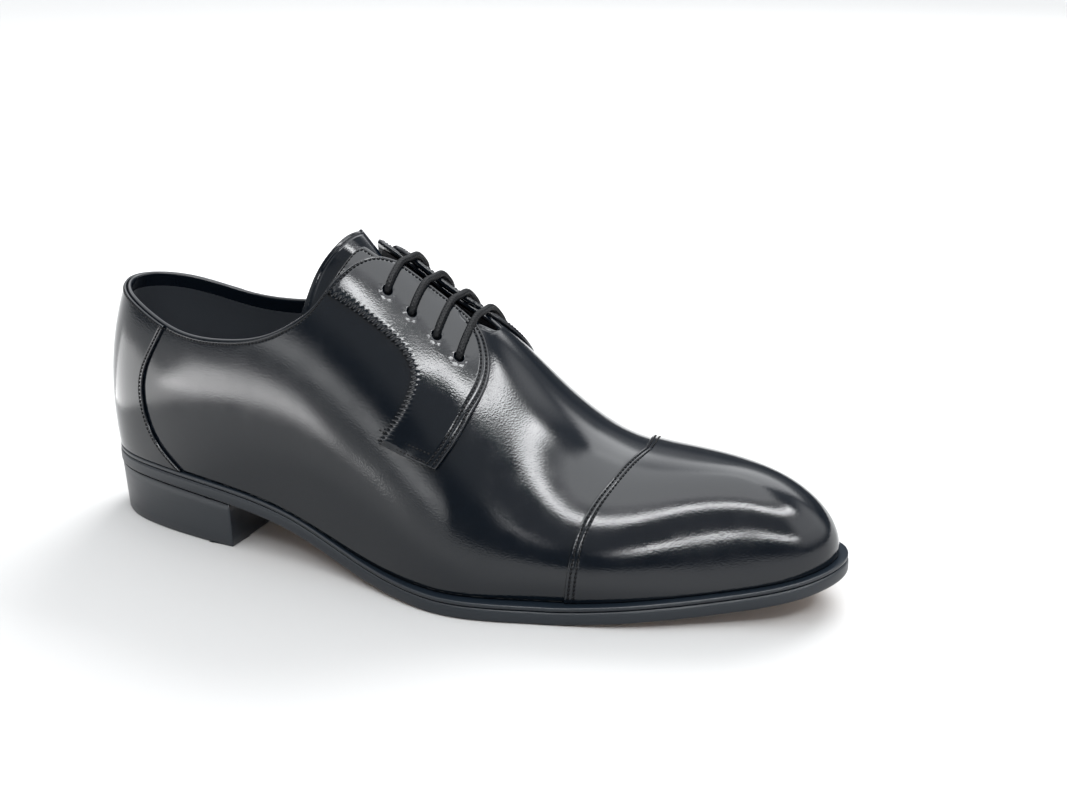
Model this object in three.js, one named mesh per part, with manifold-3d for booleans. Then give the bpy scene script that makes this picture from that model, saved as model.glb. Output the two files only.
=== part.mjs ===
// A plain black dress shoe for the right foot: cap toe, open lacing, leather sole and heel.
// X runs from the heel to the toe, Y to the shoe's left (the inner side of the foot), Z up.
import * as THREE from "three";
import { TessellateModifier } from "three/addons/modifiers/TessellateModifier.js";
import { mergeVertices } from "three/addons/utils/BufferGeometryUtils.js";
import Module from "manifold-3d";

const wasm = await Module();
wasm.setup();

// Driving sizes of the last and the sole, in millimetres
const LENGTH = 306; // outsole, from the back of the heel to the tip of the toe
const BALL_WIDTH = 105; // unit of every width in the tables
const HEEL_HEIGHT = 20.8; // underside of the outsole above the floor, at the back
const HEEL_LENGTH = 72; // from the back to the heel's front face
const HEEL_TAPER = 1.3; // the heel's back leans in by this much at the floor
const HEEL_NARROWING = 0.985; // the heel's width at the floor, as a share of its width under the sole
const EDGE_STEP = 0.4; // the welt's and the heel's edges lie this far inside the outsole's
const TOE_SPRING = 12.8; // underside of the toe tip above the floor
const INSTEP_HEIGHT = 110; // top of the instep above the foot line
const TOE_BOX_HEIGHT = 34; // top of the toe box above the foot line
const COLLAR_HEIGHT = 71; // collar above the foot line, at the back
const COLLAR_TURN = 1.1; // edge of the collar that stays free above the back strip
const WELT_MARGIN = 4.5; // the sole's edge beyond the upper, at the toe

// Thicknesses and gaps
const SOLE = 5.0;
const WELT = 1.6;
const INSOLE = 2.2;
const LEATHER = 1.8; // upper with its lining
const CAP = 0.8; // toe cap
const STRIP = 0.9; // back strip over the heel
const FACING = 1.6; // doubled leather that holds the lace
const TONGUE = 1.6;
const GAP = 0.3; // between pieces that lie on each other

// Lacing
const LACE = 2.7; // diameter
const EYELET = 4.2; // diameter
const LACE_GAP = 8.6; // between the two lace edges
const SLOT_MARGIN = 1.6; // the upper ends this far behind each lace edge
const CORNER = 5; // rounding of the upper where its collar meets the lacing slot
const BAR_EDGE = 0.955; // where the lace bars leave the facing, as a share up the side
const BAR_RISE = 0.018; // the lace lies on the facing this share above its eyelet
const TONGUE_DEPTH = 6.2; // tongue's top below the upper's outside, under the lace

// Fineness of the faceted surfaces
const STATIONS = 33;
const ROWS = 10;
const LACE_SIDES = 8;
const LACE_STEPS = 82;
const SOLE_STRIPS = 2;
const FACING_CELL = 11; // longest edge inside a facing
const FACING_POINTS = 42; // round a facing's outline
const MIDDLE_POINTS = 60; // along the last's middle line
const COLUMN_POINTS = 48; // up one column of the last

// Turns rows of numbers into objects with the named columns
function table(columns, rows) {
  const names = columns.split(" ");
  return rows.map((row) => Object.fromEntries(names.map((name, i) => [name, row[i]])));
}

// Outline of the outsole, from the back of the heel round by the right side
const OUTLINE = table("along across", [
  [0.0, 0.02], [0.03, -0.148], [0.1, -0.25], [0.2, -0.312], [0.32, -0.356], [0.45, -0.446],
  [0.58, -0.542], [0.68, -0.488], [0.79, -0.402], [0.9, -0.262], [0.97, -0.158], [1.0, 0.022],
  [0.985, 0.152], [0.93, 0.284], [0.83, 0.425], [0.73, 0.498], [0.64, 0.478], [0.52, 0.352],
  [0.4, 0.267], [0.3, 0.273], [0.2, 0.312], [0.1, 0.285], [0.03, 0.185],
]);

// Underside of the outsole above the floor, as shares of HEEL_HEIGHT and TOE_SPRING
const UNDERSIDE = table("along heel toe", [
  [0, 1, 0], [0.22, 0.9, 0], [0.34, 0.605, 0], [0.44, 0.173, 0], [0.54, 0.01, 0],
  [0.62, -0.02, 0], [0.7, 0, 0], [0.8, 0, 0.2], [0.9, 0, 0.47], [1, 0, 1],
]);

// Top line of the last above the foot line, as shares of INSTEP_HEIGHT and TOE_BOX_HEIGHT
const CREST = table("along instep toe", [
  [0, 0.88, 0], [0.15, 0.93, 0], [0.28, 0.99, 0], [0.38, 1, 0], [0.46, 0.944, 0], [0.52, 0.861, 0],
  [0.58, 0.767, 0], [0.64, 0.594, 0], [0.7, 0.32, 0.428], [0.78, 0.06, 1.026], [0.88, 0, 1.072],
  [1, 0, 0.701],
]);

// Cross sections: how square they are at the top and at the foot, how far the side swells, how far the
// top line lies to the left, all widths as shares of BALL_WIDTH, and the sole's margin as a share
const SECTION = table("along top foot swell ridge margin", [
  [0, 2.4, 1.65, 0.03, 0, 0.33], [0.2, 2.4, 1.93, 0.034, 0.012, 0.33], [0.4, 2.25, 1.83, 0.03, 0.021, 0.33],
  [0.55, 1.85, 1.5, 0.012, 0.017, 0.78], [0.7, 2.02, 1.71, 0.022, -0.031, 1],
  [0.85, 2.57, 1.79, -0.0028, -0.0485, 1], [1, 2.42, 2.21, 0.0056, 0.0121, 1],
]);

// Collar above the foot line, as shares of COLLAR_HEIGHT and, on the lacing flap, of INSTEP_HEIGHT
const COLLAR = table("along collar instep", [
  [0, 1, 0], [0.08, 0.915, 0], [0.16, 0.822, 0], [0.24, 0.842, 0], [0.31, 0.956, 0], [0.35, 0.8, 0.19],
  [0.374, 0.5, 0.468], [0.396, 0.15, 0.82], [0.42, 0, 1.07],
]);

// Seam of the toe cap and edge of the back strip: place along the foot line for a share up the side
const CAP_SEAM = table("up along", [
  [0, 0.709], [0.2, 0.712], [0.35, 0.716], [0.5, 0.725], [0.65, 0.738], [0.8, 0.75], [0.9, 0.757], [1, 0.762],
]);
const STRIP_EDGE = table("up along", [
  [0, 0.157], [0.14, 0.124], [0.3, 0.106], [0.48, 0.1], [0.64, 0.106], [0.8, 0.121], [1, 0.141],
]);

// Facing, drawn on the upper: along the foot line and up the side. The back seam and the front edge
// are smooth, and the tab below has square corners.
const FACING_TOP = [[0.383, 0.745], [0.396, 0.815], [0.411, 0.88], [0.428, 0.931], [0.45, 0.962]];
const FACING_FRONT = [
  [0.513, 0.962], [0.545, 0.947], [0.566, 0.92], [0.58, 0.87], [0.588, 0.8], [0.588, 0.72], [0.584, 0.64],
  [0.578, 0.545], [0.56, 0.412],
];
const FACING_BACK = [
  [0.482, 0.414], [0.495, 0.478], [0.508, 0.545], [0.515, 0.62], [0.514, 0.675], [0.5, 0.714], [0.472, 0.735],
  [0.43, 0.743], [0.383, 0.745],
];

// Tongue, from under the vamp to its free end: half its width up the column, and how deep its middle and
// its sides lie, as shares of TONGUE_DEPTH
const TONGUE_ROWS = table("along half middle side", [
  [0.6, 0.2, 0.47, 0.47], [0.57, 0.22, 0.9, 0.9], [0.52, 0.24, 1, 1], [0.47, 0.26, 1, 1],
  [0.438, 0.28, 0.93, 0.93], [0.418, 0.315, 0.55, 0.85], [0.393, 0.4, 0.05, 0.75],
]);
// Across the tongue, from its middle to its side: how far back the free end lies, and how soon the
// middle's depth turns into the side's
const TONGUE_ACROSS = table("across back turn", [
  [0, 0, 0], [0.25, 0.013, 0.3], [0.5, 0.031, 0.93], [0.75, 0.041, 1], [1, 0.049, 1],
]);

// Eyelets, from the lowest to the top one
const EYELETS = table("along up", [[0.553, 0.793], [0.522, 0.822], [0.488, 0.843], [0.455, 0.857]]);
const SLOT = { back: 0.3, front: 0.578 };

// Smooth curve through values at rising places: a natural cubic spline
function smooth(at, value) {
  const n = at.length;
  const bend = new Array(n).fill(0);
  const pivot = new Array(n).fill(0);
  for (let i = 1; i < n - 1; i++) {
    const before = at[i] - at[i - 1];
    const after = at[i + 1] - at[i];
    const divisor = 2 * (before + after) - before * pivot[i - 1];
    const turn = (value[i + 1] - value[i]) / after - (value[i] - value[i - 1]) / before;
    pivot[i] = after / divisor;
    bend[i] = (6 * turn - before * bend[i - 1]) / divisor;
  }
  for (let i = n - 2; i > 0; i--) bend[i] -= pivot[i] * bend[i + 1];
  return (x) => {
    let i = 0;
    while (i < n - 2 && x > at[i + 1]) i++;
    const step = at[i + 1] - at[i];
    const a = at[i + 1] - x;
    const b = x - at[i];
    const cubic = (bend[i] * a ** 3 + bend[i + 1] * b ** 3) / (6 * step);
    const left = (value[i] / step - (bend[i] * step) / 6) * a;
    const right = (value[i + 1] / step - (bend[i + 1] * step) / 6) * b;
    return cubic + left + right;
  };
}

// Curve through one table: the place runs along the shoe, in millimetres
function lengthwise(rows, height) {
  const curve = smooth(rows.map((row) => row.along), rows.map(height));
  const last = rows[rows.length - 1].along;
  return (x) => curve(THREE.MathUtils.clamp(x / LENGTH, rows[0].along, last));
}

const rawUnderside = lengthwise(UNDERSIDE, (row) => row.heel * HEEL_HEIGHT + row.toe * TOE_SPRING);
const underside = (x) => Math.max(0, rawUnderside(x));
const footLine = (x) => underside(x) + SOLE + GAP + WELT + GAP;
const rise = lengthwise(CREST, (row) => row.instep * INSTEP_HEIGHT + row.toe * TOE_BOX_HEIGHT);
const collarRise = lengthwise(COLLAR, (row) => row.collar * COLLAR_HEIGHT + row.instep * INSTEP_HEIGHT);
const topPower = lengthwise(SECTION, (row) => row.top);
const footPower = lengthwise(SECTION, (row) => row.foot);
const swell = lengthwise(SECTION, (row) => row.swell * BALL_WIDTH);
const ridge = lengthwise(SECTION, (row) => row.ridge * BALL_WIDTH);
const margin = lengthwise(SECTION, (row) => row.margin * WELT_MARGIN);

// Outline as a closed smooth curve, walked in small steps. Each step keeps its outward normal.
function walkOutline(steps) {
  const wrap = 4;
  const ring = OUTLINE.map((row) => new THREE.Vector2(row.along * LENGTH, row.across * BALL_WIDTH));
  const points = [...ring.slice(-wrap), ...ring, ...ring.slice(0, wrap + 1)];
  const at = [0];
  for (let i = 1; i < points.length; i++) at.push(at[i - 1] + points[i].distanceTo(points[i - 1]));
  const px = smooth(at, points.map((p) => p.x));
  const py = smooth(at, points.map((p) => p.y));
  const from = at[wrap];
  const round = at[wrap + ring.length] - from;
  return Array.from({ length: steps }, (_, i) => {
    const s = from + (round * i) / steps;
    const tangent = new THREE.Vector2(px(s + 0.01) - px(s - 0.01), py(s + 0.01) - py(s - 0.01)).normalize();
    return { point: new THREE.Vector2(px(s), py(s)), normal: new THREE.Vector2(tangent.y * -1, tangent.x) };
  });
}

// Foot of the upper on one side (-1 right, 1 left) as a function of x
const walk = walkOutline(1600).map(({ point, normal }) => {
  const out = normal.clone().multiplyScalar(-1);
  return { point, out, foot: point.clone().addScaledVector(out, -margin(point.x)) };
});
const tipStep = walk.reduce((best, step, i) => (step.foot.x > walk[best].foot.x ? i : best), 0);
const backStep = walk.reduce((best, step, i) => (step.foot.x < walk[best].foot.x ? i : best), 0);
const TIP_X = walk[tipStep].foot.x;
const BACK_X = walk[backStep].foot.x;

function sideSteps(side) {
  const steps = [];
  const count = walk.length;
  for (let i = backStep; i !== tipStep; i = (i - side + count) % count) steps.push(walk[i]);
  steps.push(walk[tipStep]);
  return steps;
}
const SIDE_STEPS = { "-1": sideSteps(-1), 1: sideSteps(1) };

// Point on the sole's outline, or on the foot line, where it passes x on one side
function rim(side, x, key) {
  const steps = SIDE_STEPS[side];
  let low = 0;
  let high = steps.length - 1;
  while (high - low > 1) {
    const middle = (low + high) >> 1;
    if (steps[middle].foot.x < x) low = middle;
    else high = middle;
  }
  const span = steps[high].foot.x - steps[low].foot.x;
  const share = THREE.MathUtils.clamp((x - steps[low].foot.x) / (span || 1), 0, 1);
  return steps[low][key].clone().lerp(steps[high][key], share);
}

// Middle line of the last. At the heel and at the toe the columns gather like the ribs of a fan.
const midAt = Array.from({ length: MIDDLE_POINTS }, (_, i) =>
  THREE.MathUtils.lerp(BACK_X + 1, TIP_X - 1, i / (MIDDLE_POINTS - 1)),
);
const middleY = smooth(midAt, midAt.map((x) => (rim(-1, x, "foot").y + rim(1, x, "foot").y) / 2));
const centreY = (x) => middleY(THREE.MathUtils.clamp(x, midAt[0], midAt[midAt.length - 1])) + ridge(x);

function centre(x) {
  const u = x / LENGTH;
  const ahead = THREE.MathUtils.clamp((u - 0.7) / 0.3, 0, 1);
  let share = u;
  if (u < 0.2) share = 0.14 + 0.06 * (u / 0.2) ** 2;
  if (u > 0.7) share = 0.7 + 0.155 * (1 - (1 - ahead) ** 1.94);
  return new THREE.Vector2(share * LENGTH, centreY(share * LENGTH));
}

// One column of the last's skin, from the foot line to the top line, by its angle
function columnPoint(side, x, angle) {
  const foot = rim(side, x, "foot");
  const inward = 1 - Math.max(0, Math.cos(angle)) ** (2 / topPower(foot.x));
  const up = Math.sin(angle) ** (2 / footPower(foot.x));
  const swelling = swell(foot.x) * Math.sin(Math.PI * Math.min(up, 1)) * (1 - inward);
  const flat = foot.clone().lerp(centre(foot.x), inward).addScaledVector(rim(side, x, "out"), swelling);
  const start = footLine(foot.x);
  const top = footLine(flat.x) + rise(flat.x);
  return new THREE.Vector3(flat.x, flat.y, start + (top - start) * up);
}

// Point on the last's skin: up is the share of the column's own length
const columns = new Map();
function columnAngles(side, x) {
  const key = `${side} ${x.toFixed(4)}`;
  if (!columns.has(key)) {
    const angles = Array.from({ length: COLUMN_POINTS + 1 }, (_, i) => ((i / COLUMN_POINTS) * Math.PI) / 2);
    const points = angles.map((angle) => columnPoint(side, x, angle));
    const reach = [0];
    for (let i = 1; i < points.length; i++) reach.push(reach[i - 1] + points[i].distanceTo(points[i - 1]));
    columns.set(key, { angles, reach });
  }
  return columns.get(key);
}

function skin(side, x, up) {
  const { angles, reach } = columnAngles(side, x);
  const goal = up * reach[reach.length - 1];
  let i = 1;
  while (i < reach.length - 1 && reach[i] < goal) i++;
  const share = (goal - reach[i - 1]) / (reach[i] - reach[i - 1]);
  const angle = THREE.MathUtils.lerp(angles[i - 1], angles[i], THREE.MathUtils.clamp(share, 0, 1));
  return columnPoint(side, x, angle);
}

// Point at a height over the skin, along the skin's own normal
function over(side, x, up, height) {
  const h = 0.004;
  const along = skin(side, x + 0.8, up).sub(skin(side, x - 0.8, up));
  const climb = skin(side, x, Math.min(1, up + h)).sub(skin(side, x, up - h));
  if (up > 1 - h) climb.set(0, -side, 0);
  const normal = side < 0 ? along.cross(climb) : climb.cross(along);
  return skin(side, x, up).addScaledVector(normal.normalize(), height);
}

// How far a place lies inside the upper: under the collar and clear of the lacing slot
function insideUpper(point) {
  const under = footLine(point.x) + collarRise(point.x) - point.z;
  const u = point.x / LENGTH;
  const slotLength = SLOT.front - SLOT.back;
  const opening = Math.sqrt(Math.max(0, 1 - ((u - SLOT.back) / slotLength) ** 8));
  const half = u > SLOT.back && u < SLOT.front ? (LACE_GAP / 2 + SLOT_MARGIN) * opening : -LENGTH;
  const clear = Math.abs(point.y - centreY(point.x)) - half;
  return CORNER - Math.hypot(Math.max(0, CORNER - under), Math.max(0, CORNER - clear));
}

// Share up a column where the upper ends, at the collar or at the slot
function topOfUpper(side, x) {
  const steps = 60;
  let low = 0;
  while (low < steps && insideUpper(skin(side, x, (low + 1) / steps)) > 0) low++;
  if (low >= steps) return 1;
  let a = low / steps;
  let b = (low + 1) / steps;
  for (let i = 0; i < 20; i++) {
    const half = (a + b) / 2;
    if (insideUpper(skin(side, x, half)) > 0) a = half;
    else b = half;
  }
  return a;
}

// Places of the columns, closer together at the heel, at the toe and round the lacing flap
function stationPlaces() {
  const right = SIDE_STEPS["-1"];
  const places = [];
  for (let k = 0; k <= STATIONS; k++) {
    const share = k / STATIONS - (0.5 * Math.sin((2 * Math.PI * k) / STATIONS)) / (2 * Math.PI);
    places.push(right[Math.round(share * (right.length - 1))].foot.x);
  }
  const flap = [0.362, 0.374, 0.384, 0.393, 0.401, 0.409, 0.42, 0.463, 0.509, 0.552];
  flap.push(SLOT.front - 0.006, SLOT.front + 0.002);
  const apart = LENGTH * 0.008;
  const kept = places.filter((x) => flap.every((share) => Math.abs(x - share * LENGTH) > apart));
  return [...kept, ...flap.map((share) => share * LENGTH)].sort((a, b) => a - b);
}
const PLACES = stationPlaces();

// A skin is a list of points with triangles that face out. Points in one place become one.
class Skin {
  constructor() {
    this.points = [];
    this.faces = [];
    this.seen = new Map();
  }

  point(p) {
    const key = [p.x, p.y, p.z].map((value) => Math.round(value * 1000)).join(" ");
    if (!this.seen.has(key)) {
      this.seen.set(key, this.points.length);
      this.points.push(p);
    }
    return this.seen.get(key);
  }

  face(a, b, c) {
    if (a !== b && b !== c && c !== a) this.faces.push([a, b, c]);
  }

  // Grid of points, rows by columns: columns run forward and rows up on the right side of the shoe
  grid(rows, flip = false) {
    const ids = rows.map((row) => row.map((p) => this.point(p)));
    for (let i = 0; i + 1 < ids.length; i++) {
      for (let j = 0; j + 1 < ids[i].length; j++) {
        const [a, b, c, d] = [ids[i][j], ids[i][j + 1], ids[i + 1][j + 1], ids[i + 1][j]];
        if (flip) {
          this.face(a, c, b);
          this.face(a, d, c);
        } else {
          this.face(a, b, c);
          this.face(a, c, d);
        }
      }
    }
    return this;
  }

  normals() {
    const sums = this.points.map(() => new THREE.Vector3());
    for (const [a, b, c] of this.faces) {
      const edge = this.points[b].clone().sub(this.points[a]);
      const normal = edge.cross(this.points[c].clone().sub(this.points[a]));
      for (const id of [a, b, c]) sums[id].add(normal);
    }
    return sums.map((sum) => sum.normalize());
  }

  // Closed solid between two places for each point, joined round every free edge
  solid(below, above) {
    const normals = this.normals();
    const count = this.points.length;
    const upper = this.points.map((p, i) => above(p, normals[i]));
    const lower = this.points.map((p, i) => below(p, normals[i]));
    const edges = new Set(this.faces.flatMap(([a, b, c]) => [`${a} ${b}`, `${b} ${c}`, `${c} ${a}`]));
    const index = [];
    for (const [a, b, c] of this.faces) {
      index.push(a, b, c, a + count, c + count, b + count);
      for (const [from, to] of [[a, b], [b, c], [c, a]]) {
        if (!edges.has(`${to} ${from}`)) index.push(from, from + count, to, to, from + count, to + count);
      }
    }
    const geometry = new THREE.BufferGeometry();
    const values = [...upper, ...lower].flatMap((p) => [p.x, p.y, p.z]);
    geometry.setAttribute("position", new THREE.Float32BufferAttribute(values, 3));
    geometry.setIndex(index);
    return geometry;
  }

  // Leather of even thickness between two heights over the skin
  leather(low, high) {
    const at = (height) => (p, normal) => p.clone().addScaledVector(normal, height);
    return this.solid(at(low), at(high));
  }
}

// Columns of the upper, heel to toe by the right side and back by the left
function upperSkin() {
  const skinOfUpper = new Skin();
  const right = PLACES.map((x) => [-1, x]);
  const left = PLACES.slice(0, -1).reverse().map((x) => [1, x]);
  const stations = [...right, ...left];
  const tops = stations.map(([side, x]) => topOfUpper(side, x));
  const rows = Array.from({ length: ROWS + 1 }, (_, j) =>
    stations.map(([side, x], i) => skin(side, x, (tops[i] * j) / ROWS)),
  );
  return skinOfUpper.grid(rows);
}

// Toe cap, from its seam to the toe tip on both sides
function capSkin() {
  const seam = smooth(CAP_SEAM.map((row) => row.up), CAP_SEAM.map((row) => row.along));
  const seamFoot = CAP_SEAM[0].along * LENGTH;
  const shares = PLACES.filter((x) => x > seamFoot + 2).map((x) => (x - seamFoot) / (TIP_X - seamFoot));
  const sheet = new Skin();
  for (const side of [-1, 1]) {
    const rows = Array.from({ length: ROWS + 1 }, (_, j) => {
      const first = seam(j / ROWS) * LENGTH;
      return [0, ...shares].map((share) => skin(side, first + (TIP_X - first) * share, j / ROWS));
    });
    sheet.grid(rows, side > 0);
  }
  return sheet;
}

// Back strip over the heel, from edge to edge round the back
function stripSkin() {
  const edge = smooth(STRIP_EDGE.map((row) => row.up), STRIP_EDGE.map((row) => row.along));
  const half = 9;
  const upTo = (side, x) => {
    const { reach } = columnAngles(side, x);
    return topOfUpper(side, x) - COLLAR_TURN / reach[reach.length - 1];
  };
  const sheet = new Skin();
  for (const side of [-1, 1]) {
    const rows = Array.from({ length: ROWS }, (_, j) => {
      const up = j / (ROWS - 1);
      return Array.from({ length: half + 1 }, (_, i) => {
        const x = BACK_X + (edge(up) * LENGTH - BACK_X) * (i / half) ** 2;
        return skin(side, x, upTo(side, x) * up);
      });
    });
    sheet.grid(rows, side > 0);
  }
  return sheet;
}

// Facing of one side: its outline, cut into small triangles and laid on the skin
function facingSkin(side) {
  const upScale = (INSTEP_HEIGHT * 12) / 11; // about a column's length, so that the drawing keeps its shape
  const place = ([along, up]) => new THREE.Vector2(along * LENGTH, up * upScale);
  const shape = new THREE.Shape();
  const start = place(FACING_TOP[0]);
  shape.moveTo(start.x, start.y);
  shape.splineThru(FACING_TOP.slice(1).map(place));
  shape.splineThru(FACING_FRONT.map(place));
  const corner = place(FACING_BACK[0]);
  shape.lineTo(corner.x, corner.y);
  shape.splineThru(FACING_BACK.slice(1).map(place));
  const outline = shape.getSpacedPoints(FACING_POINTS);
  if (outline[0].distanceTo(outline[outline.length - 1]) < 1e-3) outline.pop();
  const flat = new THREE.ShapeGeometry(new THREE.Shape(outline)).toNonIndexed();
  flat.deleteAttribute("normal");
  flat.deleteAttribute("uv");
  const fine = mergeVertices(new TessellateModifier(FACING_CELL, 6).modify(flat), 1e-3);
  const drawn = fine.getAttribute("position");
  const sheet = new Skin();
  const ids = Array.from({ length: drawn.count }, (_, i) =>
    sheet.point(skin(side, drawn.getX(i), drawn.getY(i) / upScale)),
  );
  const index = fine.getIndex();
  for (let i = 0; i < index.count; i += 3) {
    const [a, b, c] = [0, 1, 2].map((k) => ids[index.getX(i + k)]);
    if (side < 0) sheet.face(a, b, c);
    else sheet.face(a, c, b);
  }
  return sheet;
}

// Tongue, sunk below the upper
function tongueSkin() {
  const at = TONGUE_ROWS.map((_, i) => i);
  const line = (column) => smooth(at, TONGUE_ROWS.map((row) => row[column]));
  const [along, half, middle, side] = ["along", "half", "middle", "side"].map(line);
  const out = TONGUE_ACROSS.map((row) => row.across);
  const [back, turn] = ["back", "turn"].map((column) => smooth(out, TONGUE_ACROSS.map((row) => row[column])));
  const steps = 15;
  const across = 5;
  const sheet = new Skin();
  for (const foot of [-1, 1]) {
    const rows = Array.from({ length: across + 1 }, (_, i) => {
      const b = 1 - i / across;
      return Array.from({ length: steps + 1 }, (_, j) => {
        const share = (steps - j) / steps;
        const t = share * (TONGUE_ROWS.length - 1);
        const sink = THREE.MathUtils.lerp(middle(t), side(t), turn(b));
        return over(foot, (along(t) - back(b) * share ** 3) * LENGTH, 1 - half(t) * b, -sink * TONGUE_DEPTH);
      });
    });
    sheet.grid(rows, foot > 0);
  }
  return sheet;
}

// Flat sheet inside the sole's outline or inside the upper's foot, up to one place along the shoe
function soleSkin(key, inset, lastX = TIP_X) {
  const places = [...PLACES.filter((x) => x < lastX - 1), lastX];
  const rows = Array.from({ length: SOLE_STRIPS + 1 }, (_, j) =>
    places.map((x) => {
      const right = rim(-1, x, key).addScaledVector(rim(-1, x, "out"), -inset);
      const left = rim(1, x, key).addScaledVector(rim(1, x, "out"), -inset);
      const p = right.lerp(left, j / SOLE_STRIPS);
      return new THREE.Vector3(p.x, p.y, 0);
    }),
  );
  return new Skin().grid(rows);
}

// Level at a height above the underside of the outsole
const level = (height) => (p) => new THREE.Vector3(p.x, p.y, underside(p.x) + height);

function outsole() {
  return soleSkin("point", 0).solid(level(0), level(SOLE));
}

function insole() {
  const base = GAP + SOLE + WELT + GAP;
  return soleSkin("foot", LEATHER + 2 * GAP).solid(level(base), level(base + INSOLE));
}

// Welt: a ring from just inside the sole's edge to under the upper
function welt() {
  const under = LEATHER + 2.4;
  const base = SOLE + GAP;
  const stations = [...PLACES.map((x) => [-1, x]), ...PLACES.slice(1, -1).reverse().map((x) => [1, x])];
  const ring = (key, inset) =>
    [...stations, stations[0]].map(([side, x]) => {
      const p = rim(side, x, key).addScaledVector(rim(side, x, "out"), -inset);
      return new THREE.Vector3(p.x, p.y, 0);
    });
  const sheet = new Skin().grid([ring("point", EDGE_STEP), ring("foot", under)]);
  return sheet.solid(level(base), level(base + WELT));
}

// Heel: stands on the floor and carries the back of the outsole
function heel() {
  const sheet = soleSkin("point", EDGE_STEP, HEEL_LENGTH);
  const foot = (p) => {
    const lean = HEEL_TAPER * (1 - p.x / HEEL_LENGTH);
    return new THREE.Vector3(p.x + lean, p.y * HEEL_NARROWING, 0);
  };
  return sheet.solid(foot, level(-GAP));
}

// Lace: straight bars over the facings, joined under them from eyelet to eyelet
function lacePath() {
  const top = GAP + FACING + LACE / 2 + GAP + 0.1;
  const under = -(LEATHER + GAP + LACE / 2 + 0.5);
  const place = (side, row, up, height) => over(side, EYELETS[row].along * LENGTH, up, height);
  const bar = (row, from) => {
    const up = EYELETS[row].up;
    const steps = [
      [up, under], [up, 0], [up, GAP + FACING], [up + BAR_RISE, top], [(up + BAR_EDGE) / 2, top],
      [BAR_EDGE, top],
    ];
    const rising = steps.map(([at, height]) => place(from, row, at, height));
    const falling = steps.map(([at, height]) => place(-from, row, at, height)).reverse();
    return [...rising, ...falling];
  };
  // Run under one facing, from one eyelet to another, bowed down or up the side
  const run = (side, from, to, bow) => {
    const steps = Math.abs(to - from) === 1 ? [0.3, 0.7] : [0.18, 0.5, 0.82];
    return steps.map((share) => {
      const [along, up] = ["along", "up"].map((key) =>
        THREE.MathUtils.lerp(EYELETS[from][key], EYELETS[to][key], share),
      );
      return over(side, along * LENGTH, up + bow * Math.sin(Math.PI * share), under);
    });
  };
  const end = run(-1, 3, 2, 0);
  return [
    ...end, ...bar(2, -1), ...run(1, 2, 0, -0.07), ...bar(0, 1), ...run(-1, 0, 1, 0),
    ...bar(1, -1), ...run(1, 1, 3, 0.07), ...bar(3, 1),
  ];
}

function lace() {
  const path = new THREE.CatmullRomCurve3(lacePath(), false, "centripetal");
  const section = new THREE.Shape().absarc(0, 0, LACE / 2, 0, 2 * Math.PI);
  const fineness = { steps: LACE_STEPS, curveSegments: LACE_SIDES / 2 };
  const options = { ...fineness, bevelEnabled: false, extrudePath: path };
  return bare(new THREE.ExtrudeGeometry(section, options));
}

// Geometry with its positions only, each point once
function bare(geometry) {
  const plain = geometry.clone();
  plain.deleteAttribute("normal");
  plain.deleteAttribute("uv");
  return mergeVertices(plain, 1e-4);
}

// Eyelet holes through the facing and the upper, cut with pins along the skin's normal
function pins(side) {
  const reach = 2 * (LEATHER + GAP + FACING);
  return EYELETS.map(({ along, up }) => {
    const low = over(side, along * LENGTH, up, -reach);
    const high = over(side, along * LENGTH, up, reach);
    const axis = high.clone().sub(low);
    const pin = new THREE.CylinderGeometry(EYELET / 2, EYELET / 2, axis.length(), 10);
    const lengthOfPin = new THREE.Vector3(0, 1, 0);
    pin.applyQuaternion(new THREE.Quaternion().setFromUnitVectors(lengthOfPin, axis.normalize()));
    pin.translate(...low.lerp(high, 0.5).toArray());
    return bare(pin);
  });
}

function solidOf(geometry) {
  const vertProperties = new Float32Array(geometry.getAttribute("position").array);
  const triVerts = new Uint32Array(geometry.getIndex().array);
  return new wasm.Manifold(new wasm.Mesh({ numProp: 3, vertProperties, triVerts }));
}

function cut(geometry, tools) {
  let body = solidOf(geometry);
  for (const tool of tools) body = body.subtract(solidOf(tool));
  const { vertProperties, triVerts } = body.getMesh();
  const result = new THREE.BufferGeometry();
  result.setAttribute("position", new THREE.BufferAttribute(new Float32Array(vertProperties), 3));
  result.setIndex(new THREE.BufferAttribute(new Uint32Array(triVerts), 1));
  return result;
}

// Materials
const polished = new THREE.MeshStandardMaterial({ color: 0x101114, roughness: 0.22, metalness: 0 });
const lining = new THREE.MeshStandardMaterial({ color: 0x141416, roughness: 0.7, metalness: 0 });
const edgeBlack = new THREE.MeshStandardMaterial({ color: 0x1b1d20, roughness: 0.45, metalness: 0 });
const soleLeather = new THREE.MeshStandardMaterial({ color: 0x24201c, roughness: 0.5, metalness: 0 });
const cotton = new THREE.MeshStandardMaterial({ color: 0x0b0b0c, roughness: 0.85, metalness: 0 });

const shoe = new THREE.Group();
function add(name, geometry, material) {
  const mesh = new THREE.Mesh(geometry, material);
  mesh.name = name;
  shoe.add(mesh);
}

const overlay = (sheet, thickness) => sheet.leather(GAP, GAP + thickness);
add("outsole", outsole(), soleLeather);
add("heel", heel(), edgeBlack);
add("welt", welt(), edgeBlack);
add("insole", insole(), lining);
add("upper", cut(upperSkin().leather(-LEATHER, 0), [...pins(-1), ...pins(1)]), polished);
add("toe_cap", overlay(capSkin(), CAP), polished);
add("back_strip", overlay(stripSkin(), STRIP), polished);
add("facing_right", cut(overlay(facingSkin(-1), FACING), pins(-1)), polished);
add("facing_left", cut(overlay(facingSkin(1), FACING), pins(1)), polished);
add("tongue", tongueSkin().leather(-TONGUE, 0), polished);
add("lace", lace(), cotton);

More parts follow.
